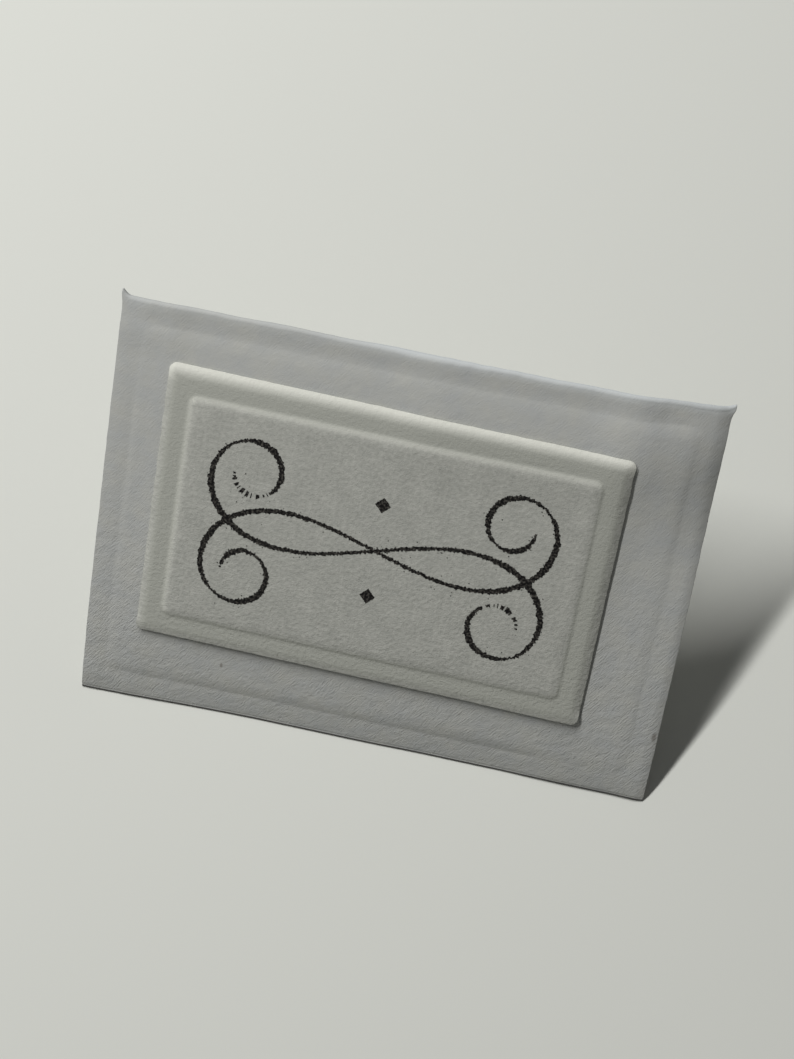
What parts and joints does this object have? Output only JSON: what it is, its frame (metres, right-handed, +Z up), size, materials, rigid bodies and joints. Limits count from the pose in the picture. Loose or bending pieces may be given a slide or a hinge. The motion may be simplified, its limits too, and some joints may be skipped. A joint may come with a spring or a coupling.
{
  "type": "greeting card",
  "caption": "Small folded card lying open on its back leaf, its front leaf raised, with a pressed frame, a glued-on thick paper plaque and a pen flourish.",
  "frame": {"origin": "on the table under the middle of the back leaf", "axes": "+X along the fold, +Y away from the reader towards the back leaf's free edge, +Z up"},
  "size_m": [0.075, 0.052, 0.0339],
  "materials": {
    "felt_paper": "matte white felt-textured paper",
    "plaque_paper": "matte natural white thick handmade paper",
    "ink": "matte black-brown ink"
  },
  "bodies": {
    "root": {"card_sheet": "felt_paper", "plaque": "plaque_paper", "ink_flourish": "ink"}
  },
  "joints": []
}
